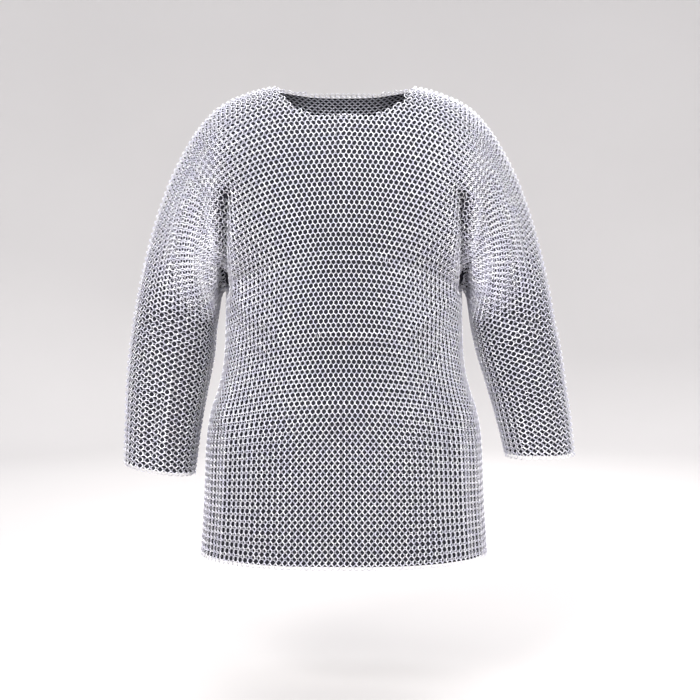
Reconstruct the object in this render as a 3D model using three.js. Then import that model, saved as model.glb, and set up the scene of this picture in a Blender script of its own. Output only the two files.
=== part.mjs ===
// A chainmail hauberk in the hollow form that it takes when worn: hip length, with long sleeves
// that hang a little away from the sides, and a wide shallow neckline with no collar.
//
// The mail is a wall as thick as its woven rings. It is woven in stretches: a yoke and two sleeves
// whose rows run from cuff to cuff over the shoulders, and a body and skirt whose rows run round.
// Millimetres, +Z up. The origin is where the wearer's shoulders hold it, at the middle of the
// shoulder line. The front faces -Y, and the wearer's left is +X.
import * as THREE from "three";

// Driving dimensions.
const WALL = 3; // thickness of the woven mail
const SEAM_GAP = 0.3; // between neighbouring stretches

// Columns of rings, counted from the centre line outwards along one side.
const CHEST_COLUMNS = 27.5; // centre line to armhole, a quarter of the way round the body
const CAP_COLUMNS = 27; // armhole to the straight part of the sleeve, along its outer side
const ARM_COLUMNS = 27; // the straight part, down to the cuff
const CUFF_COLUMN = CHEST_COLUMNS + CAP_COLUMNS + ARM_COLUMNS;

// Body and skirt, as rings from the chest down to the hem.
const BODY_ROUNDNESS = 2.35; // exponent of each ring's superellipse
const BODY_RINGS = [
  { z: -280, half: 202, front: 117, back: 113 },
  { z: -350, half: 203, front: 119, back: 113 },
  { z: -420, half: 204, front: 121, back: 109 },
  { z: -475, half: 207, front: 120, back: 107 },
  { z: -520, half: 216, front: 124, back: 115 },
  { z: -560, half: 229, front: 131, back: 127 },
  { z: -605, half: 237, front: 137, back: 136 },
  { z: -720, half: 243, front: 144, back: 142 },
  { z: -814, half: 249, front: 149, back: 147 },
];
const ARMPIT_HEIGHT = -350;
const CHEST_RISE = 60; // how far the yoke's lower edge arches up from the armpits to the middle
const WAIST_HEIGHT = -572; // join of body and skirt
const HEM_HEIGHT = -814;

// The shoulder line and the outer side of the arm down to the elbow, in front view.
const SHOULDER_LINE = [
  [0, 0],
  [60, 0],
  [119, -4],
  [168, -16],
  [212, -37],
  [246, -70],
  [273, -110],
  [300, -163],
  [322, -222],
  [340, -283],
  [355, -345],
  [366, -403],
];
// The underarm from the armpit to the elbow, in front view.
const UNDERARM_LINE = [
  [203, -350],
  [210, -354],
  [216, -366],
  [220, -388],
  [224, -420],
];
const CAP_UNDERARM = 66; // length of the underarm line that lies in the sleeve's cap
// Below the elbow the two arms hang a little differently.
const FOREARMS = {
  left: {
    side: 1,
    outer: [
      [376, -448],
      [386, -512],
      [396, -578],
      [403, -641],
    ],
    under: [
      [235, -467],
      [248, -508],
      [272, -590],
      [285, -643],
    ],
  },
  right: {
    side: -1,
    outer: [
      [373, -452],
      [379, -512],
      [382, -580],
      [385, -658],
    ],
    under: [
      [228, -465],
      [238, -516],
      [252, -590],
      [264, -677],
    ],
  },
};

// Depth of the yoke and sleeves in front of and behind the shoulder line, by column.
const SHEET_DEPTHS = [
  { column: 0, front: 119, back: 116 },
  { column: 14, front: 112, back: 111 },
  { column: 22, front: 99, back: 99 },
  { column: CHEST_COLUMNS, front: 85, back: 87 },
  { column: 40, front: 74, back: 77 },
  { column: CHEST_COLUMNS + CAP_COLUMNS, front: 66, back: 70 },
  { column: 68, front: 62, back: 62 },
  { column: CUFF_COLUMN, front: 60, back: 59 },
];
const CHEST_ROUNDNESS = 2.5; // exponent of a section through the chest
const SLEEVE_ROUNDNESS = 2.1; // exponent of a section through the sleeve

// Neckline: half its width at the shoulder line, and how far down the sheet it is cut.
const NECK_HALF = 119;
const NECK_CUT = { front: 119, back: 44 };
const NECK_SQUARENESS = { front: 3.4, back: 2.2 };
const NECK_ROUNDNESS = 2.2;

// The largest folds, as soft troughs (negative) or ridges, each along a line in front view.
const FOLDS = [
  { face: "front", mirrored: true, from: [196, -190], to: [207, -350], width: 15, depth: -7 },
  { face: "back", mirrored: true, from: [198, -195], to: [207, -352], width: 15, depth: -7 },
  { face: "front", mirrored: true, from: [172, -560], to: [196, -800], width: 24, depth: -5 },
  { face: "back", mirrored: true, from: [150, -540], to: [168, -800], width: 26, depth: -6 },
  { face: "front", mirrored: false, from: [-14, -600], to: [-30, -800], width: 30, depth: -4 },
  { face: "back", mirrored: false, from: [0, -330], to: [6, -560], width: 34, depth: -5 },
];

const SIDE_FADE = 20; // how far from the side seams a fold reaches its full depth

// Steps of the solids: neighbouring stretches share them along their seams.
const STEPS_ACROSS = 22; // armhole to armhole, and side to side
const STEPS_DOWN_YOKE = 12;
const STEPS_DOWN_BODY = 8;
const STEPS_DOWN_SKIRT = 8;
const STEPS_CAP = 9;
const STEPS_ARM = 8;
const CURVE_SAMPLES = 96;
const PLACES_PER_MM = 20; // corners closer than this share one normal

const STEEL = { color: 0xb9bcc9, metalness: 0.9, roughness: 0.38 };

// Smooth value at a place on a list of knots, with slopes from the neighbouring knots.
function smoothValue(knots, values, at) {
  const last = knots.length - 1;
  let i = 0;
  while (i < last - 1 && at > knots[i + 1]) i += 1;
  const slope = (k) => {
    const a = Math.max(k - 1, 0);
    const b = Math.min(k + 1, last);
    return (values[b] - values[a]) / (knots[b] - knots[a]);
  };
  const span = knots[i + 1] - knots[i];
  const t = Math.min(Math.max((at - knots[i]) / span, 0), 1);
  const rise = t * t * (3 - 2 * t);
  const startSlope = t * (1 - t) * (1 - t) * span * slope(i);
  const endSlope = t * t * (t - 1) * span * slope(i + 1);
  return values[i] * (1 - rise) + values[i + 1] * rise + startSlope + endSlope;
}

// A field of a list of stations, smoothly between them.
function stationValue(stations, key, field, at) {
  const falling = stations[1][key] < stations[0][key];
  const knots = stations.map((station) => (falling ? -station[key] : station[key]));
  const values = stations.map((station) => station[field]);
  return smoothValue(knots, values, falling ? -at : at);
}

// A point at a share of the length of a list of points.
function pointAlong(points, share) {
  const lengths = [0];
  for (let i = 1; i < points.length; i += 1) {
    lengths.push(lengths[i - 1] + points[i].distanceTo(points[i - 1]));
  }
  const target = Math.min(Math.max(share, 0), 1) * lengths[lengths.length - 1];
  let i = 1;
  while (i < points.length - 1 && lengths[i] < target) i += 1;
  const step = lengths[i] - lengths[i - 1];
  return points[i - 1].clone().lerp(points[i], (target - lengths[i - 1]) / step);
}

function lengthOf(points) {
  return points.slice(1).reduce((sum, point, i) => sum + point.distanceTo(points[i]), 0);
}

// A smooth line in front view through corner points, as closely spaced points at y = 0.
function smoothLine(corners) {
  const knots = [0];
  for (let i = 1; i < corners.length; i += 1) {
    const [x0, z0] = corners[i - 1];
    const [x1, z1] = corners[i];
    knots.push(knots[i - 1] + Math.hypot(x1 - x0, z1 - z0));
  }
  const xs = corners.map((corner) => corner[0]);
  const zs = corners.map((corner) => corner[1]);
  const samples = CURVE_SAMPLES * 2;
  const end = knots[knots.length - 1];
  return Array.from({ length: samples + 1 }, (_, k) => {
    const at = (end * k) / samples;
    return new THREE.Vector3(smoothValue(knots, xs, at), 0, smoothValue(knots, zs, at));
  });
}

// Signed power, for superellipses.
const power = (value, exponent) => Math.sign(value) * Math.abs(value) ** exponent;

// Turns round a body ring, one for each share of the quarter from the middle to the side.
const QUARTER_TURNS = (() => {
  const proportion = 0.58; // depth to half width of a typical ring
  const turns = Array.from({ length: CURVE_SAMPLES + 1 }, (_, k) => (k / CURVE_SAMPLES) * (Math.PI / 2));
  const points = turns.map(
    (turn) =>
      new THREE.Vector3(
        power(Math.sin(turn), 2 / BODY_ROUNDNESS),
        proportion * power(Math.cos(turn), 2 / BODY_ROUNDNESS),
        0,
      ),
  );
  const lengths = [0];
  for (let k = 1; k < points.length; k += 1) {
    lengths.push(lengths[k - 1] + points[k].distanceTo(points[k - 1]));
  }
  return { turns, lengths };
})();

// The turn at a share of the quarter's length, from 0 at the middle to 1 at the side.
function quarterTurn(share) {
  const { turns, lengths } = QUARTER_TURNS;
  const target = share * lengths[lengths.length - 1];
  let k = 1;
  while (k < lengths.length - 1 && lengths[k] < target) k += 1;
  const t = (target - lengths[k - 1]) / (lengths[k] - lengths[k - 1]);
  return turns[k - 1] + t * (turns[k] - turns[k - 1]);
}

// Distance from a point to a segment, in front view.
function distanceToLine(x, z, [x0, z0], [x1, z1]) {
  const dx = x1 - x0;
  const dz = z1 - z0;
  const t = Math.min(Math.max(((x - x0) * dx + (z - z0) * dz) / (dx * dx + dz * dz), 0), 1);
  return Math.hypot(x - x0 - t * dx, z - z0 - t * dz);
}

// How far the folds move a point of the sheet out or in.
function foldHeight(point) {
  const face = point.y < 0 ? "front" : "back";
  const seamFade = Math.min(Math.abs(point.y) / SIDE_FADE, 1); // folds die out at the sides
  return FOLDS.filter((fold) => fold.face === face).reduce((sum, fold) => {
    const x = fold.mirrored ? Math.abs(point.x) : point.x;
    const away = distanceToLine(x, point.z, fold.from, fold.to);
    return sum + seamFade * fold.depth * Math.exp(-((away / fold.width) ** 2));
  }, 0);
}

// A point of the body or skirt: column from the centre line, and share of the way from the
// arched top edge to the hem.
function bodyPoint(side, column, face, down) {
  const turn = quarterTurn(column / CHEST_COLUMNS);
  const top = ARMPIT_HEIGHT + CHEST_RISE * Math.cos(turn) ** 2;
  const z = top + down * (HEM_HEIGHT - top);
  const half = stationValue(BODY_RINGS, "z", "half", z);
  const depth = stationValue(BODY_RINGS, "z", face, z);
  const x = side * half * power(Math.sin(turn), 2 / BODY_ROUNDNESS);
  const y = depth * power(Math.cos(turn), 2 / BODY_ROUNDNESS);
  return new THREE.Vector3(x, face === "front" ? -y : y, z);
}

// The share of the way down at which a column of the body reaches a height.
function shareDown(column, z) {
  const turn = quarterTurn(column / CHEST_COLUMNS);
  const top = ARMPIT_HEIGHT + CHEST_RISE * Math.cos(turn) ** 2;
  return (z - top) / (HEM_HEIGHT - top);
}

// The lines that carry one side's half of the yoke and its sleeve.
function sheetLines({ side, outer, under }) {
  const shoulder = smoothLine([...SHOULDER_LINE, ...outer]);
  const underarm = smoothLine([...UNDERARM_LINE, ...under]);
  const underLength = lengthOf(underarm);
  const capShare = CAP_UNDERARM / underLength;
  return {
    side,
    shoulderAt: (column) => pointAlong(shoulder, column / CUFF_COLUMN),
    underAt: (column) => {
      const past = column - CHEST_COLUMNS;
      const inCap = Math.min(past / CAP_COLUMNS, 1) * capShare;
      const inArm = (Math.max(past - CAP_COLUMNS, 0) / ARM_COLUMNS) * (1 - capShare);
      return pointAlong(underarm, inCap + inArm);
    },
  };
}

// One section of the yoke or sleeve: points from the lower edge up to the shoulder line.
function sheetSection(lines, column, face) {
  const onChest = column <= CHEST_COLUMNS;
  const foot = onChest ? bodyPoint(1, column, face, 0) : lines.underAt(column);
  const head = lines.shoulderAt(column);
  const depth = stationValue(SHEET_DEPTHS, "column", face, column);
  const along = Math.min(column / CHEST_COLUMNS, 1);
  const roundness = CHEST_ROUNDNESS + along * (SLEEVE_ROUNDNESS - CHEST_ROUNDNESS);
  const footDepth = Math.min(Math.abs(foot.y) / depth, 1);
  const startTurn = Math.asin(footDepth ** (roundness / 2));
  const startRise = -power(Math.cos(startTurn), 2 / roundness);
  const reach = head.clone().sub(foot).setY(0).divideScalar(1 - startRise);
  const middle = head.clone().sub(reach);
  const out = face === "front" ? -1 : 1;
  return Array.from({ length: CURVE_SAMPLES + 1 }, (_, k) => {
    const turn = startTurn + (Math.PI - startTurn) * (k / CURVE_SAMPLES);
    const rise = -power(Math.cos(turn), 2 / roundness);
    const y = out * depth * power(Math.sin(turn), 2 / roundness);
    return new THREE.Vector3(
      lines.side * (middle.x + reach.x * rise),
      k === CURVE_SAMPLES ? 0 : y,
      middle.z + reach.z * rise,
    );
  });
}

// A point of the yoke or sleeve, from its lower edge (0) to the neckline or shoulder line (1).
function sheetPoint(lines, column, face, up) {
  const points = sheetSection(lines, column, face);
  const atShoulder = Math.min(lines.shoulderAt(column).x / NECK_HALF, 1);
  const cut = NECK_CUT[face] * (1 - atShoulder ** NECK_SQUARENESS[face]) ** (1 / NECK_ROUNDNESS);
  return pointAlong(points, up * (1 - cut / lengthOf(points)));
}

// Every grid's border points are shared with its neighbours, so that seams meet with one normal.
const placeKey = (point) => point.toArray().map((value) => Math.round(value * PLACES_PER_MM)).join(" ");

// A grid of points with the sheet's normals. Each normal is added to what its place has so far.
function gridOf(rows, columns, wraps, makePoint) {
  const points = Array.from({ length: rows + 1 }, (_, i) =>
    Array.from({ length: columns + 1 }, (_, j) => makePoint(i / rows, j / columns)),
  );
  const at = (i, j) => {
    const wrapped = wraps ? (i + rows) % rows : Math.min(Math.max(i, 0), rows);
    return points[wrapped][Math.min(Math.max(j, 0), columns)];
  };
  const normals = points.map((line, i) =>
    line.map((_, j) => {
      const along = at(i + 1, j).clone().sub(at(i - 1, j));
      const across = at(i, j + 1).clone().sub(at(i, j - 1));
      return along.cross(across).normalize();
    }),
  );
  return { points, normals, rows, columns, wraps };
}

// The wall of a grid: outer and inner faces, and the edges between them.
function wallGeometry({ points, normals, rows, columns, wraps, outward }) {
  const lineCount = wraps ? rows : rows + 1;
  const width = columns + 1;
  const corners = [];
  for (const share of [0.5, -0.5]) {
    for (let i = 0; i < lineCount; i += 1) {
      for (let j = 0; j < width; j += 1) {
        corners.push(points[i][j].clone().addScaledVector(normals[i][j], share * WALL));
      }
    }
  }
  const outer = (i, j) => (i % lineCount) * width + j;
  const inner = (i, j) => outer(i, j) + lineCount * width;
  const faces = [];
  const quad = (a, b, c, d) => {
    if (outward > 0) faces.push([a, b, c], [a, c, d]);
    else faces.push([a, c, b], [a, d, c]);
  };
  for (let i = 0; i < rows; i += 1) {
    for (let j = 0; j < columns; j += 1) {
      const near = points[i][j].distanceTo(points[i + 1][j + 1]);
      const far = points[i + 1][j].distanceTo(points[i][j + 1]);
      const [a, b, c, d] = [[i, j], [i + 1, j], [i + 1, j + 1], [i, j + 1]];
      const ring = far < near ? [b, c, d, a] : [a, b, c, d]; // split along the shorter diagonal
      const [p, q, r, t] = ring.map(([k, l]) => outer(k, l));
      quad(p, q, r, t);
      const depth = lineCount * width;
      quad(p + depth, t + depth, r + depth, q + depth);
    }
    const edge = [outer(i, 0), inner(i, 0), inner(i + 1, 0), outer(i + 1, 0)];
    const [a, b, c, d] = edge;
    if (wraps && i >= rows / 2) quad(b, c, d, a); // the back of a sleeve mirrors its front
    else quad(a, b, c, d);
    quad(outer(i, columns), outer(i + 1, columns), inner(i + 1, columns), inner(i, columns));
  }
  for (let j = 0; j < columns && !wraps; j += 1) {
    quad(outer(0, j), outer(0, j + 1), inner(0, j + 1), inner(0, j));
    quad(outer(rows, j), inner(rows, j), inner(rows, j + 1), outer(rows, j + 1));
  }
  const geometry = new THREE.BufferGeometry().setFromPoints(corners);
  geometry.setIndex(faces.flat());
  geometry.computeVertexNormals();
  return geometry;
}

// Moves a grid's border points in by half the seam, towards the next points of the grid.
function openSeams(grid) {
  const { points, rows, columns, wraps } = grid;
  const before = points.map((line) => line.map((point) => point.clone()));
  const pull = (i, j, k, l) => {
    const inward = before[k][l].clone().sub(before[i][j]).normalize();
    points[i][j].addScaledVector(inward, SEAM_GAP / 2);
  };
  for (let i = 0; i <= rows; i += 1) {
    pull(i, 0, i, 1);
    pull(i, columns, i, columns - 1);
  }
  for (let j = 0; j <= columns && !wraps; j += 1) {
    pull(0, j, 1, j);
    pull(rows, j, rows - 1, j);
  }
}

const LINES = { left: sheetLines(FOREARMS.left), right: sheetLines(FOREARMS.right) };

// The side and column of a place across the front or back, from -1 at the wearer's right.
function acrossPlace(share) {
  const across = 2 * share - 1;
  return { hand: across < 0 ? "right" : "left", column: Math.abs(across) * CHEST_COLUMNS };
}

function yokeGrid(face) {
  return gridOf(STEPS_ACROSS, STEPS_DOWN_YOKE, false, (share, up) => {
    const { hand, column } = acrossPlace(share);
    return sheetPoint(LINES[hand], column, face, up);
  });
}

function bodyGrid(face, steps, fromHeight, toHeight) {
  return gridOf(STEPS_ACROSS, steps, false, (share, down) => {
    const { hand, column } = acrossPlace(share);
    const from = fromHeight === null ? 0 : shareDown(column, fromHeight);
    const to = shareDown(column, toHeight);
    return bodyPoint(LINES[hand].side, column, face, from + down * (to - from));
  });
}

// A sleeve goes round from the underarm, up the front and down the back.
function sleeveGrid(hand) {
  const stepsLong = STEPS_CAP + STEPS_ARM;
  return gridOf(2 * STEPS_DOWN_YOKE, stepsLong, true, (round, share) => {
    const step = share * stepsLong;
    const inCap = Math.min(step / STEPS_CAP, 1) * CAP_COLUMNS;
    const inArm = (Math.max(step - STEPS_CAP, 0) / STEPS_ARM) * ARM_COLUMNS;
    const face = round <= 0.5 ? "front" : "back";
    const up = round <= 0.5 ? 2 * round : 2 - 2 * round;
    return sheetPoint(LINES[hand], CHEST_COLUMNS + inCap + inArm, face, up);
  });
}

const grids = {
  yoke_front: yokeGrid("front"),
  yoke_back: yokeGrid("back"),
  sleeve_left: sleeveGrid("left"),
  sleeve_right: sleeveGrid("right"),
  body_front: bodyGrid("front", STEPS_DOWN_BODY, null, WAIST_HEIGHT),
  body_back: bodyGrid("back", STEPS_DOWN_BODY, null, WAIST_HEIGHT),
  skirt_front: bodyGrid("front", STEPS_DOWN_SKIRT, WAIST_HEIGHT, HEM_HEIGHT),
  skirt_back: bodyGrid("back", STEPS_DOWN_SKIRT, WAIST_HEIGHT, HEM_HEIGHT),
};

// Normals point out of the garment, and stretches that meet share them.
const MIDDLE = new THREE.Vector3(0, 0, -400);
const sharedNormals = new Map();
for (const [name, grid] of Object.entries(grids)) {
  const i = Math.floor(grid.rows / 4);
  const j = Math.floor(grid.columns / 2);
  const middle = name.startsWith("sleeve")
    ? grid.points[0][j].clone().add(grid.points[grid.rows / 2][j]).multiplyScalar(0.5)
    : MIDDLE;
  const outward = grid.points[i][j].clone().sub(middle).dot(grid.normals[i][j]) > 0 ? 1 : -1;
  grid.outward = outward;
  grid.normals.flat().forEach((normal, k) => {
    normal.multiplyScalar(outward);
    const key = placeKey(grid.points.flat()[k]);
    sharedNormals.set(key, (sharedNormals.get(key) ?? new THREE.Vector3()).add(normal));
  });
}

const hauberk = new THREE.Group();
for (const [name, grid] of Object.entries(grids)) {
  grid.normals = grid.points.map((line) =>
    line.map((point) => sharedNormals.get(placeKey(point)).clone().normalize()),
  );
  grid.points.flat().forEach((point, k) => {
    point.addScaledVector(grid.normals.flat()[k], foldHeight(point));
  });
  openSeams(grid);
  const mesh = new THREE.Mesh(wallGeometry(grid), new THREE.MeshStandardMaterial(STEEL));
  mesh.name = name;
  hauberk.add(mesh);
}

export default hauberk;
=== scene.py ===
"""A chainmail hauberk: rings laid in a 4-in-1 pattern over the form in which it is worn."""

import logging
import math
from dataclasses import dataclass, field
from enum import Enum
from typing import Any, Callable, Sequence

import bpy
import numpy as np
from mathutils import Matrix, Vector


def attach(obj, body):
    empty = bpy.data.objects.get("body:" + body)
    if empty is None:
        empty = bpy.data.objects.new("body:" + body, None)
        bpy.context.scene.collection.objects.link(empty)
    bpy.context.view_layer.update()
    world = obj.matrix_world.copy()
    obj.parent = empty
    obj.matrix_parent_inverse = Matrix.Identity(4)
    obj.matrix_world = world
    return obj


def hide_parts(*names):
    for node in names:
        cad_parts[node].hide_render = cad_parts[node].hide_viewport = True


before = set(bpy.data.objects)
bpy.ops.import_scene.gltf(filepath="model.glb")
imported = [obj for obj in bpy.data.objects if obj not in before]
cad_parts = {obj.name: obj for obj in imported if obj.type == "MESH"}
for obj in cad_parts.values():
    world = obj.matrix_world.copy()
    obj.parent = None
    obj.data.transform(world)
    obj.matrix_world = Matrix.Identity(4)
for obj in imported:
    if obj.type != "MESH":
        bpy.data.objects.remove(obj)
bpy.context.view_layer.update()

LOG = logging.getLogger("hauberk")
MM = 0.001

# The form is measured in columns, from the centre line outwards along one side.
CHEST_COLUMNS = 27.5
CAP_COLUMNS = 27.0
ARM_COLUMNS = 27.0
CUFF_COLUMN = CHEST_COLUMNS + CAP_COLUMNS + ARM_COLUMNS
CUFF_TRIM = 0.6
BODY_COLUMNS = 4 * CHEST_COLUMNS

# Columns of rings from the middle of the chest to the side, and the form's columns that each takes.
CHEST_RINGS = 31.5
BODY_RINGS = 4 * CHEST_RINGS
RING_COLUMN = CHEST_COLUMNS / CHEST_RINGS

# Rows of rings, counted from the shoulder line down.
YOKE_ROWS = 46
SLEEVE_ROWS = 31
BODY_ROWS = 37
SKIRT_ROWS = 40

ARMPIT_HEIGHT = -350.0
CHEST_RISE = 60.0
HEM_HEIGHT = -814.0
BODY_ROUNDNESS = 2.35
CHEST_ROUNDNESS = 2.5
SLEEVE_ROUNDNESS = 2.1
CAP_UNDERARM = 66.0
NECK_HALF = 119.0
NECK_BLEND = 12.0
EDGE_INSET = 5.0
TYPICAL_PROPORTION = 0.58
NECK_ROUNDNESS = 2.2

# Creases fade out this close to the side seam, in millimetres.
SIDE_FADE = 20.0

# How far past an edge, as a share of a section, a row may still lie.
EDGE_SLACK = 0.004

# How finely the form is sampled.
QUARTER_SAMPLES = 97
SECTION_SAMPLES = 97
LINE_SAMPLES = 193
BODY_SAMPLES = (457, 161)
ARM_SAMPLES = (327, 121)
CAP_SAMPLES = 109
TINY = 1e-9

Pairs = Sequence[tuple[float, float]]


class Face(Enum):
    """The two faces of the garment, with the way each lies along Y."""

    FRONT = -1.0
    BACK = 1.0


class Hand(Enum):
    """The wearer's two sides, with the way each lies along X."""

    LEFT = 1.0
    RIGHT = -1.0


@dataclass(frozen=True)
class Station:
    """A place along the form, with its sizes in millimetres.

    The key is a height on the body and a column on the yoke and sleeves.
    """

    key: float
    front: float
    back: float
    half: float = 0.0


@dataclass(frozen=True)
class Crease:
    """A soft trough (negative) or ridge along a line in front view, in millimetres."""

    face: Face
    start: tuple[float, float]
    end: tuple[float, float]
    width: float
    height: float
    mirrored: bool = True

    def raise_at(self, points: np.ndarray) -> np.ndarray:
        """Work out how far the crease moves each point.

        Args:
            points: Points of the sheet, in millimetres.

        Returns:
            The height of the crease at each point.
        """
        x = np.abs(points[..., 0]) if self.mirrored else points[..., 0]
        z = points[..., 2]
        dx, dz = self.end[0] - self.start[0], self.end[1] - self.start[1]
        along = ((x - self.start[0]) * dx + (z - self.start[1]) * dz) / (dx * dx + dz * dz)
        along = np.clip(along, 0.0, 1.0)
        away = np.hypot(x - self.start[0] - along * dx, z - self.start[1] - along * dz)
        here = points[..., 1] * self.face.value >= 0
        fade = np.minimum(np.abs(points[..., 1]) / SIDE_FADE, 1.0)
        return here * fade * self.height * np.exp(-((away / self.width) ** 2))


BODY_STATIONS = (
    Station(-280, 117, 113, 202),
    Station(-350, 119, 113, 203),
    Station(-420, 121, 109, 204),
    Station(-475, 120, 107, 207),
    Station(-520, 124, 115, 216),
    Station(-560, 131, 127, 229),
    Station(-605, 137, 136, 237),
    Station(-720, 144, 142, 243),
    Station(-814, 149, 147, 249),
)
SHEET_STATIONS = (
    Station(0, 119, 116),
    Station(14, 112, 111),
    Station(22, 99, 99),
    Station(CHEST_COLUMNS, 85, 87),
    Station(40, 74, 77),
    Station(CHEST_COLUMNS + CAP_COLUMNS, 66, 70),
    Station(68, 62, 62),
    Station(CUFF_COLUMN, 60, 59),
)
SHOULDER_LINE: Pairs = (
    (0, 0), (60, 0), (119, -4), (168, -16), (212, -37), (246, -70),
    (273, -110), (300, -163), (322, -222), (340, -283), (355, -345), (366, -403),
)
UNDERARM_LINE: Pairs = ((203, -350), (210, -354), (216, -366), (220, -388), (224, -420))
FOREARM_OUTER: dict[Hand, Pairs] = {
    Hand.LEFT: ((376, -448), (386, -512), (396, -578), (403, -641)),
    Hand.RIGHT: ((373, -452), (379, -512), (382, -580), (385, -658)),
}
FOREARM_UNDER: dict[Hand, Pairs] = {
    Hand.LEFT: ((235, -467), (248, -508), (272, -590), (285, -643)),
    Hand.RIGHT: ((228, -465), (238, -516), (252, -590), (264, -677)),
}
NECK_CUT = {Face.FRONT: 119.0, Face.BACK: 44.0}
NECK_SQUARENESS = {Face.FRONT: 3.4, Face.BACK: 2.2}

CREASES = (
    # The folds that the solids have too.
    Crease(Face.FRONT, (196, -190), (207, -350), 15, -7),
    Crease(Face.BACK, (198, -195), (207, -352), 15, -7),
    Crease(Face.FRONT, (172, -560), (196, -800), 24, -5),
    Crease(Face.BACK, (150, -540), (168, -800), 26, -6),
    Crease(Face.FRONT, (-14, -600), (-30, -800), 30, -4, mirrored=False),
    Crease(Face.BACK, (0, -330), (6, -560), 34, -5, mirrored=False),
    # The finer ones: the armpits, where the sleeves roll over the chest.
    Crease(Face.FRONT, (199, -195), (206, -345), 7, -11),
    Crease(Face.FRONT, (217, -200), (221, -335), 11, 5),
    Crease(Face.FRONT, (182, -250), (190, -350), 10, 3),
    Crease(Face.BACK, (200, -215), (207, -345), 7, -7),
    Crease(Face.BACK, (218, -205), (222, -335), 12, 4),
    # Rows that bunch across the middle of the chest.
    Crease(Face.FRONT, (-42, -296), (66, -300), 5, 3.5, mirrored=False),
    Crease(Face.FRONT, (-38, -424), (74, -428), 5, 4, mirrored=False),
    Crease(Face.FRONT, (-30, -250), (40, -246), 7, 2, mirrored=False),
    Crease(Face.BACK, (-60, -388), (54, -380), 8, 3, mirrored=False),
    Crease(Face.BACK, (-44, -486), (70, -492), 7, 3, mirrored=False),
    # Pulls from the armpits down over the ribs.
    Crease(Face.FRONT, (176, -372), (112, -420), 10, 3),
    Crease(Face.FRONT, (190, -402), (142, -470), 10, -3),
    Crease(Face.BACK, (180, -368), (108, -430), 11, 3),
    Crease(Face.BACK, (192, -410), (140, -480), 11, -3),
    # Elbows, forearms and cuffs.
    Crease(Face.FRONT, (262, -392), (330, -404), 9, -4),
    Crease(Face.FRONT, (252, -436), (322, -428), 9, 3),
    Crease(Face.FRONT, (318, -540), (336, -655), 13, -5),
    Crease(Face.FRONT, (296, -500), (306, -610), 11, 3),
    Crease(Face.BACK, (270, -398), (340, -392), 10, -4),
    Crease(Face.BACK, (262, -440), (330, -450), 10, 3),
    Crease(Face.BACK, (322, -530), (330, -655), 14, -4),
    # The sides of the skirt, and soft hangs between them.
    Crease(Face.FRONT, (214, -590), (226, -800), 11, -4),
    Crease(Face.FRONT, (96, -610), (108, -800), 22, 3),
    Crease(Face.FRONT, (38, -640), (44, -800), 20, 2.5),
    Crease(Face.BACK, (208, -585), (222, -800), 12, -4),
    Crease(Face.BACK, (88, -600), (96, -800), 24, 3.5),
    Crease(Face.BACK, (24, -640), (28, -800), 22, -3),
)


def smooth_value(knots: Sequence[float], values: Sequence[float], at: np.ndarray) -> np.ndarray:
    """Run a smooth curve through values at knots, with slopes from the neighbouring knots.

    Args:
        knots: Rising places.
        values: The value at each place.
        at: Where the curve is wanted.

    Returns:
        The curve's values.
    """
    k, v = np.asarray(knots, float), np.asarray(values, float)
    last = len(k) - 1
    below, above = np.maximum(np.arange(last + 1) - 1, 0), np.minimum(np.arange(last + 1) + 1, last)
    slopes = (v[above] - v[below]) / (k[above] - k[below])
    i = np.clip(np.searchsorted(k, at, side="left") - 1, 0, last - 1)
    span = k[i + 1] - k[i]
    t = np.clip((at - k[i]) / span, 0.0, 1.0)
    rise = t * t * (3 - 2 * t)
    start = t * (1 - t) * (1 - t) * span * slopes[i]
    end = t * t * (t - 1) * span * slopes[i + 1]
    return v[i] * (1 - rise) + v[i + 1] * rise + start + end


def power(value: np.ndarray, exponent: float) -> np.ndarray:
    """Raise to a power and keep the sign, for superellipses."""
    return np.sign(value) * np.abs(value) ** exponent


def lengths_along(points: np.ndarray) -> np.ndarray:
    """Add up the lengths along the second-last axis of an array of points."""
    steps = np.linalg.norm(np.diff(points, axis=-2), axis=-1)
    return np.concatenate([np.zeros_like(steps[..., :1]), np.cumsum(steps, axis=-1)], axis=-1)


class QuarterRing:
    """The turns round a quarter of a body ring, evenly spaced along its length."""

    def __init__(self, samples: int = QUARTER_SAMPLES) -> None:
        """Tabulate the quarter."""
        self.turns = np.linspace(0.0, math.pi / 2, samples)
        x = power(np.sin(self.turns), 2 / BODY_ROUNDNESS)
        y = TYPICAL_PROPORTION * power(np.cos(self.turns), 2 / BODY_ROUNDNESS)
        lengths = lengths_along(np.stack([x, y], axis=-1))
        self.shares = lengths / lengths[-1]

    def turn_at(self, share: np.ndarray) -> np.ndarray:
        """Give the turn at a share of the way from the middle (0) to the side (1)."""
        return np.interp(share, self.shares, self.turns)


QUARTER = QuarterRing()


def raise_creases(points: np.ndarray, normals: np.ndarray) -> np.ndarray:
    """Move points along their normals by every crease at once."""
    height = sum(crease.raise_at(points) for crease in CREASES)
    return points + normals * height[..., None]


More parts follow.
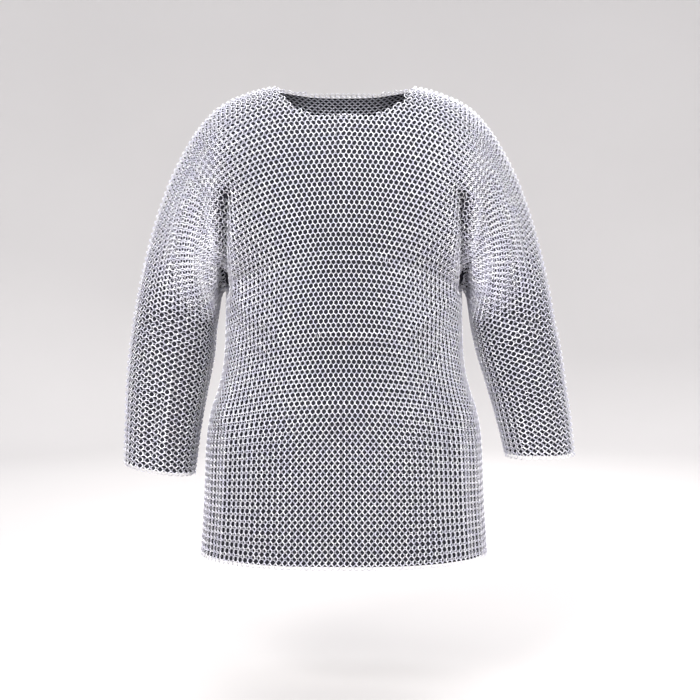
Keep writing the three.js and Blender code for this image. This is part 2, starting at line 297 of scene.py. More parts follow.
@dataclass
class Sheet:
    """A stretch of the garment's middle surface, sampled on an even grid.

    The first axis is in columns of rings, the second runs down or up the sheet from 0 to 1.
    """

    first: float
    last: float
    points: np.ndarray
    outward: float
    normals: np.ndarray = field(init=False)

    def __post_init__(self) -> None:
        """Lay the creases into the sheet and work out its normals."""
        self.points = raise_creases(self.points, self._normals())
        self.normals = self._normals()

    def _normals(self) -> np.ndarray:
        """Work out the outward normals from the grid's own steps."""
        along = np.gradient(self.points, axis=0)
        across = np.gradient(self.points, axis=1)
        normals = self.outward * np.cross(along, across)
        return normals / np.maximum(np.linalg.norm(normals, axis=-1, keepdims=True), TINY)

    def sample(self, column: np.ndarray, share: np.ndarray) -> tuple[np.ndarray, np.ndarray]:
        """Read the sheet between its grid points.

        Args:
            column: Columns of rings.
            share: Shares of the way across the sheet.

        Returns:
            The points and the outward normals, in millimetres.
        """
        rows, cols = self.points.shape[:2]
        a = np.clip((column - self.first) / (self.last - self.first), 0, 1) * (rows - 1)
        b = np.clip(share, 0, 1) * (cols - 1)
        i, j = np.minimum(a.astype(int), rows - 2), np.minimum(b.astype(int), cols - 2)
        s, t = (a - i)[..., None], (b - j)[..., None]
        result = []
        for grid in (self.points, self.normals):
            low = grid[i, j] * (1 - t) + grid[i, j + 1] * t
            high = grid[i + 1, j] * (1 - t) + grid[i + 1, j + 1] * t
            result.append(low * (1 - s) + high * s)
        normals = result[1] / np.maximum(np.linalg.norm(result[1], axis=-1, keepdims=True), TINY)
        return result[0], normals


def body_form(turn: np.ndarray, down: np.ndarray) -> np.ndarray:
    """Give points of the body and skirt.

    Args:
        turn: Turn round the body from the middle of the front, by its superellipse.
        down: Share of the way from the arched top edge to the hem.

    Returns:
        The points, in millimetres.
    """
    top = ARMPIT_HEIGHT + CHEST_RISE * np.cos(turn) ** 2
    z = top + down * (HEM_HEIGHT - top)
    knots = [-s.key for s in BODY_STATIONS]
    half = smooth_value(knots, [s.half for s in BODY_STATIONS], -z)
    front = smooth_value(knots, [s.front for s in BODY_STATIONS], -z)
    back = smooth_value(knots, [s.back for s in BODY_STATIONS], -z)
    x = half * power(np.sin(turn), 2 / BODY_ROUNDNESS)
    deep = power(np.cos(turn), 2 / BODY_ROUNDNESS)
    return np.stack([x, -np.where(deep >= 0, front, back) * deep, z], axis=-1)


def body_turn(column: np.ndarray) -> np.ndarray:
    """Turn a column, counted all the way round from the middle of the front, into a turn."""
    quarter = np.floor(column / CHEST_COLUMNS)
    share = column / CHEST_COLUMNS - quarter
    rising = QUARTER.turn_at(share)
    falling = math.pi / 2 - QUARTER.turn_at(1 - share)
    return quarter * math.pi / 2 + np.where(quarter % 2 == 0, rising, falling)


def body_sheet() -> Sheet:
    """Sample the body and skirt, once round with a little over at both ends."""
    over = 2.0
    column = np.linspace(-over, BODY_COLUMNS + over, BODY_SAMPLES[0])[:, None]
    down = np.linspace(0.0, 1.0, BODY_SAMPLES[1])[None, :]
    turn = body_turn(column) + 0 * down
    return Sheet(-over, BODY_COLUMNS + over, body_form(turn, down + 0 * turn), -1.0)


def line_through(corners: Pairs, samples: int = LINE_SAMPLES) -> np.ndarray:
    """Run a smooth line through corner points in front view."""
    corner = np.asarray(corners, float)
    knots = lengths_along(corner)
    at = np.linspace(0.0, knots[-1], samples)
    return np.stack([smooth_value(knots, corner[:, 0], at), smooth_value(knots, corner[:, 1], at)], -1)


def along_line(line: np.ndarray, share: np.ndarray) -> np.ndarray:
    """Give the points at shares of a line's length."""
    lengths = lengths_along(line)
    at = np.clip(share, 0, 1) * lengths[-1]
    return np.stack([np.interp(at, lengths, line[:, k]) for k in range(2)], axis=-1)


@dataclass
class ArmHalf:
    """One side's half of the yoke with its sleeve, front or back, from centre line to cuff.

    The second axis of its sheet runs from the lower edge (0) up to the shoulder line (1),
    and the length of each section is kept, because rows of rings are counted along it.
    """

    hand: Hand
    face: Face
    sheet: Sheet = field(init=False)
    columns: np.ndarray = field(init=False)
    lengths: np.ndarray = field(init=False)

    def __post_init__(self) -> None:
        """Sample the sections."""
        self.columns = np.linspace(0.0, CUFF_COLUMN, ARM_SAMPLES[0])
        sections = self._sections(self.columns)
        lengths = lengths_along(sections)
        self.lengths = lengths[:, -1]
        shares = np.linspace(0.0, 1.0, ARM_SAMPLES[1])
        even = np.empty((len(self.columns), len(shares), 3))
        for i, (points, reach) in enumerate(zip(sections, lengths)):
            for k in range(3):
                even[i, :, k] = np.interp(shares * reach[-1], reach, points[:, k])
        outward = -self.hand.value * self.face.value
        self.sheet = Sheet(0.0, CUFF_COLUMN, even, outward)

    def _shoulder(self, columns: np.ndarray) -> np.ndarray:
        """Give the shoulder line, and the sleeve's outer edge, at each column."""
        line = line_through([*SHOULDER_LINE, *FOREARM_OUTER[self.hand]])
        return along_line(line, columns / CUFF_COLUMN)

    def _sections(self, columns: np.ndarray) -> np.ndarray:
        """Build the section at each column, from its foot up to the shoulder line."""
        shoulder = self._shoulder(columns)
        underarm = line_through([*UNDERARM_LINE, *FOREARM_UNDER[self.hand]])
        cap_share = CAP_UNDERARM / lengths_along(underarm)[-1]
        past = columns - CHEST_COLUMNS
        in_cap = np.clip(past / CAP_COLUMNS, 0, 1) * cap_share
        in_arm = np.clip((past - CAP_COLUMNS) / ARM_COLUMNS, 0, 1) * (1 - cap_share)
        under = along_line(underarm, in_cap + in_arm)
        turn = body_turn(np.minimum(columns, CHEST_COLUMNS - TINY))
        chest_foot = body_form(turn, np.zeros_like(turn))
        on_chest = columns <= CHEST_COLUMNS
        foot = np.where(on_chest[:, None], chest_foot[:, [0, 2]], under)
        foot_depth = np.where(on_chest, np.abs(chest_foot[:, 1]), 0.0)
        depth = smooth_value(
            [s.key for s in SHEET_STATIONS],
            [s.front if self.face is Face.FRONT else s.back for s in SHEET_STATIONS],
            columns,
        )
        along = np.minimum(columns / CHEST_COLUMNS, 1.0)
        round_by = CHEST_ROUNDNESS + along * (SLEEVE_ROUNDNESS - CHEST_ROUNDNESS)
        start = np.arcsin(np.minimum(foot_depth / depth, 1.0) ** (round_by / 2))
        start_rise = -np.cos(start) ** (2 / round_by)
        reach = (shoulder - foot) / (1 - start_rise)[:, None]
        middle = shoulder - reach
        share = np.linspace(0.0, 1.0, SECTION_SAMPLES)[None, :]
        turns = start[:, None] + (math.pi - start[:, None]) * share
        exponent = (2 / round_by)[:, None]
        rise = -np.sign(np.cos(turns)) * np.abs(np.cos(turns)) ** exponent
        y = self.face.value * depth[:, None] * np.abs(np.sin(turns)) ** exponent
        y[:, -1] = 0.0
        x = self.hand.value * (middle[:, :1] + reach[:, :1] * rise)
        return np.stack([x, y, middle[:, 1:] + reach[:, 1:] * rise], axis=-1)

    def neck_share(self, columns: np.ndarray, inset: float = 0.0) -> np.ndarray:
        """Give the share of each section at which the neckline cuts it.

        Args:
            columns: Columns of the form.
            inset: How far below the neckline to stay, in millimetres.

        Returns:
            The shares, counted up from the foot of each section.
        """
        shoulder = self._shoulder(columns)
        at_shoulder = np.minimum(shoulder[..., 0] / NECK_HALF, 1.0)
        cut = NECK_CUT[self.face] * (1 - at_shoulder ** NECK_SQUARENESS[self.face]) ** (1 / NECK_ROUNDNESS)
        cut = cut + inset * np.minimum(cut / NECK_BLEND, 1.0)
        return 1 - cut / np.interp(columns, self.columns, self.lengths)

    def row_count(self, columns: np.ndarray) -> np.ndarray:
        """Give how many rows of rings each section holds, from the shoulder line to its foot."""
        length = np.interp(columns, self.columns, self.lengths)
        cap_end = CHEST_COLUMNS + CAP_COLUMNS
        chest_pitch = np.interp(CHEST_COLUMNS, self.columns, self.lengths) / YOKE_ROWS
        arm_pitch = np.interp(cap_end, self.columns, self.lengths) / SLEEVE_ROWS
        t = np.clip((columns - CHEST_COLUMNS) / CAP_COLUMNS, 0, 1)
        pitch = chest_pitch + (arm_pitch - chest_pitch) * t * t * (3 - 2 * t)
        in_cap = length / pitch
        return np.where(columns <= CHEST_COLUMNS, YOKE_ROWS, np.where(columns < cap_end, in_cap, SLEEVE_ROWS))


@dataclass(frozen=True)
class Rings:
    """Where a stretch's rings lie: their middles, row directions, normals and leans."""

    middles: np.ndarray
    along: np.ndarray
    normals: np.ndarray
    leans: np.ndarray

    @staticmethod
    def joined(parts: Sequence["Rings"]) -> "Rings":
        """Join several lots of rings into one."""
        return Rings(*(np.concatenate([getattr(p, name) for p in parts])
                       for name in ("middles", "along", "normals", "leans")))

    def __len__(self) -> int:
        """Count the rings."""
        return len(self.middles)


@dataclass(frozen=True)
class RingMaker:
    """The ring that the whole hauberk is laid with, and how it leans, in millimetres and radians.

    It is round wire in few sides: enough at the size that a ring is seen at.
    """

    radius: float = 5.0
    wire: float = 0.8
    lean: float = math.radians(30)
    segments: int = 7
    sides: int = 3

    def unit(self) -> tuple[np.ndarray, np.ndarray]:
        """Model one ring lying in its own plane.

        Returns:
            Its corners and its four-sided faces.
        """
        turn = np.arange(self.segments) * 2 * math.pi / self.segments
        side = np.arange(self.sides) * 2 * math.pi / self.sides
        out = self.radius + self.wire * np.cos(side)[None, :]
        ring = np.stack([
            out * np.cos(turn)[:, None],
            out * np.sin(turn)[:, None],
            np.broadcast_to(self.wire * np.sin(side)[None, :], (self.segments, self.sides)),
        ], axis=-1).reshape(-1, 3)
        faces = []
        for i in range(self.segments):
            for j in range(self.sides):
                k, m = (i + 1) % self.segments, (j + 1) % self.sides
                faces.append([i * self.sides + j, k * self.sides + j, k * self.sides + m, i * self.sides + m])
        return ring, np.array(faces)

    def mesh(self, name: str, rings: Rings) -> bpy.types.Object:
        """Make one joined mesh of many rings.

        Args:
            name: The new piece's name.
            rings: Where the rings lie.

        Returns:
            The new object.
        """
        unit, faces = self.unit()
        across = np.cross(rings.normals, rings.along)
        lean = rings.leans[:, None] * self.lean
        turned = rings.along * np.cos(lean) + rings.normals * np.sin(lean)
        facing = rings.normals * np.cos(lean) - rings.along * np.sin(lean)
        corners = (rings.middles[:, None]
                   + unit[None, :, :1] * turned[:, None]
                   + unit[None, :, 1:2] * across[:, None]
                   + unit[None, :, 2:] * facing[:, None]) * MM
        loops = (faces[None] + (np.arange(len(rings)) * len(unit))[:, None, None]).reshape(-1)
        mesh = bpy.data.meshes.new(name)
        mesh.vertices.add(len(rings) * len(unit))
        mesh.vertices.foreach_set("co", corners.reshape(-1).astype(np.float32))
        mesh.loops.add(len(loops))
        mesh.loops.foreach_set("vertex_index", loops.astype(np.int32))
        count = len(loops) // 4
        mesh.polygons.add(count)
        mesh.polygons.foreach_set("loop_start", np.arange(count, dtype=np.int32) * 4)
        mesh.polygons.foreach_set("use_smooth", np.ones(count, dtype=bool))
        mesh.update(calc_edges=True)
        mesh.validate()
        piece = bpy.data.objects.new(name, mesh)
        bpy.context.collection.objects.link(piece)
        return piece


@dataclass
class Weave:
    """The lattice of rings: rows alternate, half a column apart and leaning opposite ways.

    It has the look of a 4-in-1 weave, not all its links: many rings pass through fewer than four
    others, and neighbouring wires run into each other.
    """

    arms: dict[tuple[Hand, Face], ArmHalf]
    body: Sheet
    maker: RingMaker = RingMaker()

    def _rings(self, sheet: Sheet, column: np.ndarray, row: np.ndarray,
               share_of: Callable[[np.ndarray], np.ndarray], along: float) -> Rings:
        """Place rings on a sheet.

        Args:
            sheet: The surface that they lie in.
            column: The column of each ring.
            row: Its row, whose parity says which way it leans.
            share_of: Gives each row's share of the way across the sheet at any columns.
            along: Which way the columns run, 1 or -1.

        Returns:
            The rings.
        """
        step = 0.5
        middles, normals = sheet.sample(column, share_of(column))
        after, before = column + step, column - step
        ahead = sheet.sample(after, share_of(after))[0] - sheet.sample(before, share_of(before))[0]
        ahead -= normals * np.sum(ahead * normals, axis=-1, keepdims=True)
        ahead *= along / np.maximum(np.linalg.norm(ahead, axis=-1, keepdims=True), TINY)
        return Rings(middles, ahead, normals, np.where(row % 2 == 0, 1.0, -1.0))

    def _arm_rings(self, arm: ArmHalf, column: np.ndarray, row: np.ndarray) -> Rings:
        """Place rings on one half of the yoke or a sleeve, leaving out what lies past its edges."""
        inside = 1 - row / arm.row_count(column) > -EDGE_SLACK
        column, row = column[inside], row[inside]
        along = -arm.hand.value * arm.face.value
        return self._rings(arm.sheet, column, row, lambda at: 1 - row / arm.row_count(at), along)

    def yoke(self, face: Face) -> Rings:
        """Fill the front or back of the yoke, down to the row that the body hangs from."""
        parts = []
        first = 0 if face is Face.FRONT else 1
        for hand in Hand:
            arm = self.arms[hand, face]
            for row in range(first, YOKE_ROWS + 1):
                offset = 0.5 * (row % 2)
                columns = np.arange(offset, CHEST_RINGS, 1.0) * RING_COLUMN
                if hand is Hand.RIGHT and offset == 0:
                    columns = columns[1:]
                rows = np.full(columns.shape, row)
                kept = 1 - rows / YOKE_ROWS <= arm.neck_share(columns) + EDGE_SLACK
                parts.append(self._arm_rings(arm, columns[kept], rows[kept]))
        return Rings.joined(parts)

    def _cap_counts(self, arm: ArmHalf) -> list[tuple[int, int, int]]:
        """Group the cap's rows so that each group's columns stay a ring's width apart.

        Args:
            arm: The half of the sleeve.

        Returns:
            The first and last row of each group, and its number of columns.
        """
        widest, narrowest = 10.6, 8.6
        groups: list[tuple[int, int, int]] = []
        count, start = int(round(self._cap_row(arm, 0)[1][-1] / widest)), 0
        for row in range(YOKE_ROWS + 1):
            length = self._cap_row(arm, row)[1][-1]
            if length / max(count, 1) < narrowest and count > 1:
                groups.append((start, row - 1, count))
                start = row
                count = max(int(round(length / widest)), 1)
        groups.append((start, YOKE_ROWS, count))
        return [group for group in groups if group[1] >= group[0]]

    @staticmethod
    def _cap_row(arm: ArmHalf, row: int) -> tuple[np.ndarray, np.ndarray]:
        """Follow one row over the cap of a sleeve, as far as the sleeve's underside.

        Args:
            arm: The half of the sleeve.
            row: The row, counted from the shoulder line.

        Returns:
            Columns along the row, and how far along it each lies, in millimetres.
        """
        columns = np.linspace(CHEST_COLUMNS, CHEST_COLUMNS + CAP_COLUMNS, CAP_SAMPLES)
        share = 1 - row / arm.row_count(columns)
        inside = (share >= 0) | (np.arange(len(columns)) < 2)
        points = arm.sheet.sample(columns[inside], share[inside])[0]
        return columns[inside], lengths_along(points)

    def sleeve(self, hand: Hand) -> Rings:
        """Fill a sleeve, from the armhole over the cap and down to the cuff."""
        parts = []
        cap_end = CHEST_COLUMNS + CAP_COLUMNS
        for face in Face:
            arm = self.arms[hand, face]
            first = 0 if face is Face.FRONT else 1
            for top, bottom, count in self._cap_counts(arm):
                for row in range(max(top, first), bottom + 1):
                    offset = 0.5 * ((row + 1) % 2)
                    along_row, reach = self._cap_row(arm, row)
                    places = np.arange(offset, count, 1.0) * reach[-1] / count
                    columns = np.interp(places, reach, along_row)
                    parts.append(self._arm_rings(arm, columns, np.full(columns.shape, row)))
            last = SLEEVE_ROWS + 1 if face is Face.FRONT else SLEEVE_ROWS
            for row in range(first, last):
                offset = 0.5 * ((row + 1) % 2)
                columns = cap_end + np.arange(offset, ARM_COLUMNS, 1.0)
                parts.append(self._arm_rings(arm, columns, np.full(columns.shape, row)))
        return Rings.joined(parts)

    def tube(self, face: Face, first: int, last: int) -> Rings:
        """Fill a stretch of the body or skirt, front or back.

        Args:
            face: Which face.
            first: The first row below the yoke.
            last: The row after the last.

        Returns:
            The rings.
        """
        shares = self.row_shares()
        parts = []
        for row in range(first, last):
            columns = np.arange(0.5 * ((YOKE_ROWS + row) % 2), BODY_RINGS, 1.0) * RING_COLUMN
            turned = np.cos(2 * math.pi * columns / BODY_COLUMNS + 1e-6)
            columns = columns[turned >= 0] if face is Face.FRONT else columns[turned < 0]
            level = float(shares[row])
            parts.append(self._rings(self.body, columns, np.full(columns.shape, YOKE_ROWS + row),
                                     lambda at, level=level: np.full(at.shape, level), 1.0))
        return Rings.joined(parts)

    def row_shares(self) -> np.ndarray:
        """Share the height of body and skirt out among their rows, closer where they are wider."""
        rows = BODY_ROWS + SKIRT_ROWS
        place = np.arange(rows + 1) / rows
        wide, close = 1.09, 0.91
        pitch = smooth_value([0, 0.4, 0.6, 1], [wide, wide, close, close], place)
        total = np.concatenate([[0.0], np.cumsum((pitch[1:] + pitch[:-1]) / 2)])
        return total / total[-1]


class Value:
    """A socket of a node tree, with arithmetic that adds Math nodes."""

    def __init__(self, tree: bpy.types.NodeTree, socket: bpy.types.NodeSocket) -> None:
        """Wrap a socket."""
        self.tree = tree
        self.socket = socket

    def _math(self, operation: str, *inputs: "Value | float") -> "Value":
        """Add a Math node on values."""
        return add_node(self.tree, "ShaderNodeMath", {"operation": operation}, dict(enumerate(inputs)))

    def __add__(self, other: "Value | float") -> "Value":
        """Add."""
        return self._math("ADD", self, other)

    def __sub__(self, other: "Value | float") -> "Value":
        """Subtract."""
        return self._math("SUBTRACT", self, other)

    def __rsub__(self, other: "Value | float") -> "Value":
        """Subtract from a number."""
        return self._math("SUBTRACT", other, self)

    def __mul__(self, other: "Value | float") -> "Value":
        """Multiply."""
        return self._math("MULTIPLY", self, other)

    def __pow__(self, other: "Value | float") -> "Value":
        """Raise to a power."""
        return self._math("POWER", self, other)

    def fraction(self) -> "Value":
        """Drop the whole part."""
        return self._math("FRACT", self)

    def size(self) -> "Value":
        """Drop the sign."""
        return self._math("ABSOLUTE", self)

    def or_more(self, other: "Value | float") -> "Value":
        """Take the larger of two values."""
        return self._math("MAXIMUM", self, other)

    def clamped(self) -> "Value":
        """Keep between 0 and 1."""
        return self._math("MINIMUM", self._math("MAXIMUM", self, 0.0), 1.0)


def add_node(tree: bpy.types.NodeTree, kind: str, settings: dict[str, Any], inputs: dict[Any, Any],
             output: int | str = 0) -> Value:
    """Add any node, set it up and wire its inputs.

    Args:
        tree: The node tree.
        kind: The node's type.
        settings: Its own settings, set first.
        inputs: Values or links, by socket name or number.
        output: The output that is wanted.

    Returns:
        The output, wrapped.
    """
    node = tree.nodes.new(kind)
    for name, value in settings.items():
        setattr(node, name, value)
    for key, value in inputs.items():
        socket = node.inputs[key]
        if isinstance(value, Value):
            tree.links.new(value.socket, socket)
        elif isinstance(value, (tuple, list)) and socket.type == "RGBA" and len(value) == 3:
            socket.default_value = (*value, 1.0)
        else:
            socket.default_value = value
    return Value(tree, node.outputs[output])


Colour = tuple[float, float, float]


class Finish:
    """What every finish shares: a material with a surface shader and its coordinates."""

    name: str

    def _start(self) -> tuple[bpy.types.Material, bpy.types.NodeTree]:
        """Make the empty material."""
        material = bpy.data.materials.new(self.name)
        material.use_nodes = True
        material.node_tree.nodes.clear()
        return material, material.node_tree

    @staticmethod
    def _place(tree: bpy.types.NodeTree) -> Value:
        """Give the Object coordinates."""
        return add_node(tree, "ShaderNodeTexCoord", {}, {}, "Object")

    @staticmethod
    def _noise(tree: bpy.types.NodeTree, place: Value, scale: float, detail: float = 2.0) -> Value:
        """Give a noise of the given scale, from 0 to 1."""
        inputs = {"Vector": place, "Scale": scale, "Detail": detail}
        return add_node(tree, "ShaderNodeTexNoise", {}, inputs, "Fac")

    @staticmethod
    def _mix(tree: bpy.types.NodeTree, share: Value, low: Any, high: Any) -> Value:
        """Mix two colours."""
        return add_node(tree, "ShaderNodeMix", {"data_type": "RGBA"}, {0: share, 6: low, 7: high}, 2)

    @staticmethod
    def _close(tree: bpy.types.NodeTree, inputs: dict[str, Any]) -> None:
        """Add the surface shader and the output."""
        shader = add_node(tree, "ShaderNodeBsdfPrincipled", {}, inputs)
        add_node_output(tree, shader)


def add_node_output(tree: bpy.types.NodeTree, shader: Value) -> None:
    """Send a shader to the material's output."""
    end = tree.nodes.new("ShaderNodeOutputMaterial")
    tree.links.new(shader.socket, end.inputs["Surface"])


@dataclass(frozen=True)
class BrightRings(Finish):
    """Bright plated steel wire: cool silver that varies over about a ring's width, with fine marks."""

    name: str = "bright_steel_rings"
    light: Colour = (0.97, 0.96, 1.0)
    dull: Colour = (0.78, 0.77, 0.87)
    ring_scale: float = 85.0
    patch_scale: float = 9.0
    mark_scale: float = 900.0

    def material(self) -> bpy.types.Material:
        """Build the material."""
        material, tree = self._start()
        place = self._place(tree)
        by_ring = self._noise(tree, place, self.ring_scale, 0.0)
        by_patch = self._noise(tree, place, self.patch_scale)
        marks = self._noise(tree, place, self.mark_scale, 3.0)
        dulling = ((by_ring - 0.5) * 2.2 + (by_patch - 0.5) * 0.9 + 0.42).clamped()
        colour = self._mix(tree, dulling, self.light, self.dull)
        roughness = (dulling * 0.16 + marks * 0.1 + 0.26).clamped()
        bump = add_node(tree, "ShaderNodeBump", {}, {"Strength": 0.25, "Distance": 0.0002, "Height": marks})
        self._close(tree, {
            "Base Color": colour,
            "Metallic": 0.92,
            "Roughness": roughness,
            "Normal": bump,
        })
        return material


@dataclass(frozen=True)
class GapShade(Finish):
    """Painted shade: the dark between the rings, with a painted faint cool light for what the wires throw
    back into it.
    """

    name: str = "dark_between_rings"
    # Both colours are painted light: near-black painted shade between the rings, and a faint painted bounce
    # light from the wires.
    dark: Colour = (0.006, 0.006, 0.010)
    painted_bounce_light: Colour = (0.026, 0.025, 0.038)
    patch_scale: float = 40.0

    def material(self) -> bpy.types.Material:
        """Build the material."""
        material, tree = self._start()
        place = self._place(tree)
        patch = self._noise(tree, place, self.patch_scale)
        weave_map = add_node(tree, "ShaderNodeUVMap", {"uv_map": "weave"}, {})
        fine = self._noise(tree, weave_map, 1.7, 1.0)
        share = (patch * 0.6 + fine * 0.5 - 0.1).clamped()
        bump = add_node(tree, "ShaderNodeBump", {}, {"Strength": 0.5, "Distance": 0.0006, "Height": fine})
        self._close(tree, {
            "Base Color": self._mix(tree, share, self.dark, self.painted_bounce_light),
            "Metallic": 0.35,
            "Roughness": (fine * 0.2 + 0.55).clamped(),
            "Normal": bump,
        })
        return material


@dataclass(frozen=True)
class WovenInside(Finish):
    """The inner side of the mail: the same rings, painted in and dimmed as painted shade, with painted shade
    between them.

    Lengths are in columns of rings, which is what the sheets' own map is measured in.
    """

    name: str = "rings_from_inside"
    # The steel here is a dimmed copy of the rings' steel and the gap is near black: painted shade for the
    # inside of the mail.
    steel: Colour = (0.58, 0.58, 0.65)
    painted_shade_gap: Colour = (0.010, 0.010, 0.015)
    radius: float = 0.52
    wire: float = 0.11
    narrowed: float = 0.87
    row: float = 0.72

    def material(self) -> bpy.types.Material:
        """Build the material."""
        material, tree = self._start()
        place = add_node(tree, "ShaderNodeUVMap", {"uv_map": "weave"}, {})
        across = add_node(tree, "ShaderNodeSeparateXYZ", {}, {0: place}, "X")
        down = add_node(tree, "ShaderNodeSeparateXYZ", {}, {0: place}, "Y")
        wires = self._wire(across, down).or_more(self._wire(across + 0.5, down + self.row))
        sheen = self._noise(tree, place, 0.9)
        bump = add_node(tree, "ShaderNodeBump", {}, {"Strength": 0.9, "Distance": 0.0012, "Height": wires})
        edge = 2.4
        self._close(tree, {
            "Base Color": self._mix(tree, (wires * edge).clamped(), self.painted_shade_gap, self.steel),
            "Metallic": 0.6,
            "Roughness": (sheen * 0.2 + 0.32).clamped(),
            "Normal": bump,
        })
        return material

    def _wire(self, across: Value, down: Value) -> Value:
        """Give how far inside the wire of one set of rows a spot lies, from 0 at its edge to 1."""
        x = (across.fraction() - 0.5) * (1 / self.narrowed)
        y = ((down * (0.5 / self.row)).fraction() - 0.5) * (2 * self.row)
        away = (x * x + y * y) ** 0.5
        return (1.0 - (away - self.radius).size() * (1 / self.wire)).clamped()


@dataclass(frozen=True)
class PaleFloor(Finish):
    """A plain pale floor with the faintest mottling."""

    name: str = "pale_floor"
    tone: Colour = (0.575, 0.555, 0.545)
    second: Colour = (0.54, 0.52, 0.51)

    def material(self) -> bpy.types.Material:
        """Build the material."""
        material, tree = self._start()
        place = self._place(tree)
        colour = self._mix(tree, self._noise(tree, place, 1.2), self.tone, self.second)
        self._close(tree, {"Base Color": colour, "Roughness": 0.9})
        return material


@dataclass
class Panel:
    """One woven stretch: the dark sheet of painted shade that closes its gaps, and its rings, over one solid
    of the frame.
    """

    node: str
    flat: tuple[float, float]
    area: float
    steps: tuple[int, int]
    surface: Callable[[np.ndarray, np.ndarray], tuple[np.ndarray, np.ndarray]]
    rings: Rings
    closed: bool = False
    sink: float = 3.2
    thickness: float = 0.4

    def build(self, maker: RingMaker, steel: bpy.types.Material, sides: Sequence[bpy.types.Material]) -> None:
        """Args:
            maker: The ring.
            steel: The rings' finish.
            sides: The sheet's finishes, outside and inside: painted shade outside, painted rings in painted
                shade inside.
        """
        sheet = self._sheet(sides)
        woven = maker.mesh(self.node + "_rings", self.rings)
        woven.data.materials.append(steel)
        for piece in (sheet, woven):
            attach(piece, "root")
        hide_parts(self.node)
        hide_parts(self.node)
        LOG.info("%s: %d rings, flat %.3f x %.3f m", self.node, len(self.rings), *self.flat)

    def _sheet(self, sides: Sequence[bpy.types.Material]) -> bpy.types.Object:
        """Model the thin dark sheet of painted shade behind the rings, on its solid's form."""
        bpy.ops.object.select_all(action="DESELECT")
        across, down = self.steps
        bpy.ops.mesh.primitive_grid_add(x_subdivisions=across, y_subdivisions=down, size=2.0)
        piece = bpy.context.object
        piece.name = piece.data.name = self.node + "_ground"
        mesh = piece.data
        flat = np.empty(len(mesh.vertices) * 3, dtype=np.float32)
        mesh.vertices.foreach_get("co", flat)
        u, v = (flat.reshape(-1, 3)[:, k].astype(float) / 2 + 0.5 for k in range(2))
        points, normals = self.surface(u, v)
        moved = (points - normals * self.sink) * MM
        mesh.vertices.foreach_set("co", moved.reshape(-1).astype(np.float32))
        self._map(mesh)
        if self.closed:
            bpy.ops.object.mode_set(mode="EDIT")
            bpy.ops.mesh.select_all(action="SELECT")
            bpy.ops.mesh.remove_doubles(threshold=0.0001)
            bpy.ops.object.mode_set(mode="OBJECT")
        self._face_out(piece, points, normals)
        # Painted shade outside, and painted rings in painted shade inside.
        for side in sides:
            mesh.materials.append(side)
        wall = piece.modifiers.new("wall", "SOLIDIFY")
        wall.material_offset = 1
        wall.thickness = self.thickness * MM
        wall.offset = 0.0
        bpy.ops.object.modifier_apply(modifier=wall.name)
        bpy.ops.object.shade_smooth_by_angle(angle=math.radians(60))
        return piece

    def _map(self, mesh: bpy.types.Mesh) -> None:
        """Scale the sheet's map so that one unit is about one ring."""
        layer = mesh.uv_layers[0]
        layer.name = "weave"
        pitch = 0.0098
        uv = np.empty(len(layer.data) * 2, dtype=np.float32)
        layer.data.foreach_get("uv", uv)
        uv = uv.reshape(-1, 2) * np.array(self.flat, dtype=np.float32) / pitch
        layer.data.foreach_set("uv", uv.reshape(-1))

    @staticmethod
    def _face_out(piece: bpy.types.Object, points: np.ndarray, normals: np.ndarray) -> None:
        """Turn the faces over where they point into the garment."""
        mesh = piece.data
        mesh.update()
        face = mesh.polygons[len(mesh.polygons) // 2 + 3]
        nearest = np.argmin(np.linalg.norm(points * MM - np.array(face.center), axis=1))
        if np.dot(np.array(face.normal), normals[nearest]) < 0:
            mesh.flip_normals()


